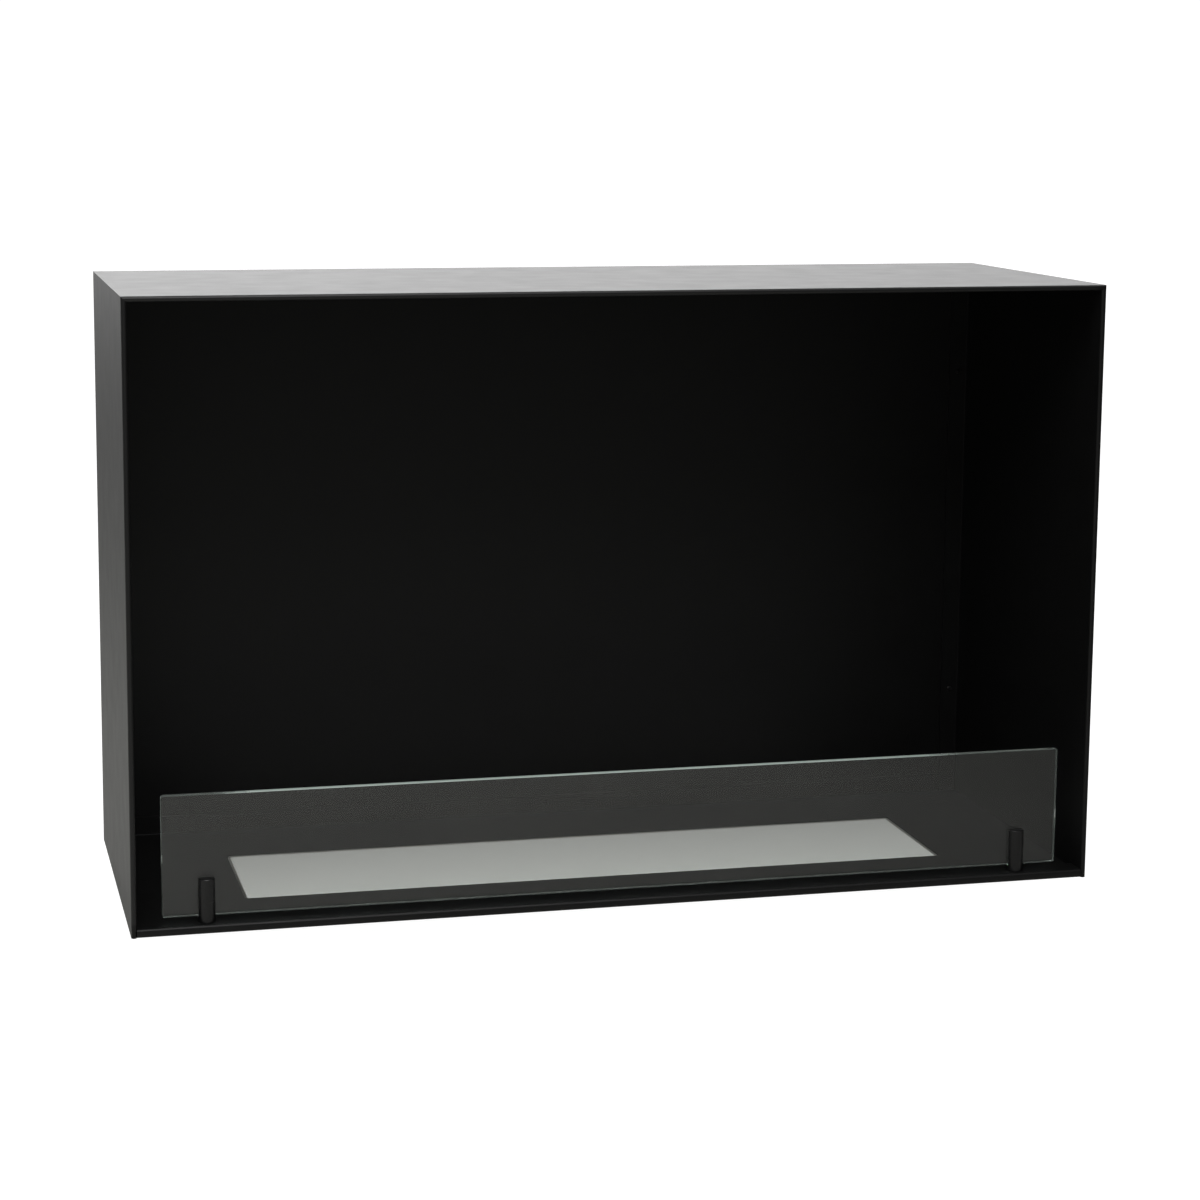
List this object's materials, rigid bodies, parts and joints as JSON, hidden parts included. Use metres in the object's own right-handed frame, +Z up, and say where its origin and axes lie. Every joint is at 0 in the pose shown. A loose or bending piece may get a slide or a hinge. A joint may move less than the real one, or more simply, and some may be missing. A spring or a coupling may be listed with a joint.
{
  "type": "bioethanol fireplace",
  "caption": "Open-fronted folded steel firebox on low rubber feet, with a glass wind screen in slotted posts and a shallow lift-out ethanol burner pan in its floor.",
  "frame": {"origin": "on the ground plane of the feet, below the middle of the overall width and depth", "axes": "+X to the right along the width as seen from the front, +Y from the open front to the back panel, +Z up"},
  "size_m": [0.8, 0.2972, 0.52],
  "materials": {
    "black_coat": "matte black fine-texture powder coat, scuffed along the folds",
    "black_post": "satin black coat on turned steel",
    "black_screw": "black oxide",
    "zinc_steel": "bright zinc plate",
    "stainless": "fine brushed stainless steel",
    "foot_rubber": "moulded matte black rubber",
    "silicone": "translucent pale silicone",
    "ceramic_fibre": "felted off-white ceramic fibre, matte",
    "clear_glass": "clear toughened glass, polished greenish edges"
  },
  "bodies": {
    "casing": {"casing_shell": "black_coat", "floor_panel": "black_coat", "back_panel": "black_coat", "back_screw_01": "black_screw", "back_screw_02": "black_screw", "back_screw_03": "black_screw", "back_screw_04": "black_screw", "back_screw_05": "black_screw", "back_screw_06": "black_screw", "back_screw_07": "black_screw", "back_screw_08": "black_screw", "back_screw_09": "black_screw", "back_screw_10": "black_screw", "post_left": "black_post", "post_right": "black_post", "post_screw_left": "zinc_steel", "post_screw_right": "zinc_steel", "glass_pad_left": "silicone", "glass_pad_right": "silicone", "burner_bracket_left": "zinc_steel", "burner_bracket_right": "zinc_steel", "bracket_stud_left_front": "zinc_steel", "bracket_stud_left_rear": "zinc_steel", "bracket_stud_right_front": "zinc_steel", "bracket_stud_right_rear": "zinc_steel", "bracket_nut_left_front": "zinc_steel", "bracket_nut_left_rear": "zinc_steel", "bracket_nut_right_front": "zinc_steel", "bracket_nut_right_rear": "zinc_steel", "foot_front_left": "foot_rubber", "foot_rear_left": "foot_rubber", "foot_front_right": "foot_rubber", "foot_rear_right": "foot_rubber", "foot_stud_front_left": "zinc_steel", "foot_stud_rear_left": "zinc_steel", "foot_stud_front_right": "zinc_steel", "foot_stud_rear_right": "zinc_steel", "foot_washer_front_left": "zinc_steel", "foot_washer_rear_left": "zinc_steel", "foot_washer_front_right": "zinc_steel", "foot_washer_rear_right": "zinc_steel", "foot_nut_front_left": "zinc_steel", "foot_nut_rear_left": "zinc_steel", "foot_nut_front_right": "zinc_steel", "foot_nut_rear_right": "zinc_steel"},
    "glass": {"glass_screen": "clear_glass"},
    "burner": {"burner_tray": "stainless"},
    "fibre": {"fibre_bed": "ceramic_fibre"}
  },
  "joints": [
    {"name": "glass_lift", "type": "slide", "parent": "casing", "child": "glass", "axis": [0, 0, 1], "range_m": [0, 0.12]},
    {"name": "burner_lift", "type": "slide", "parent": "casing", "child": "burner", "axis": [0, 0, 1], "range_m": [0, 0.15]},
    {"name": "fibre_lift", "type": "slide", "parent": "burner", "child": "fibre", "axis": [0, 0, 1], "range_m": [0, 0.05]}
  ]
}
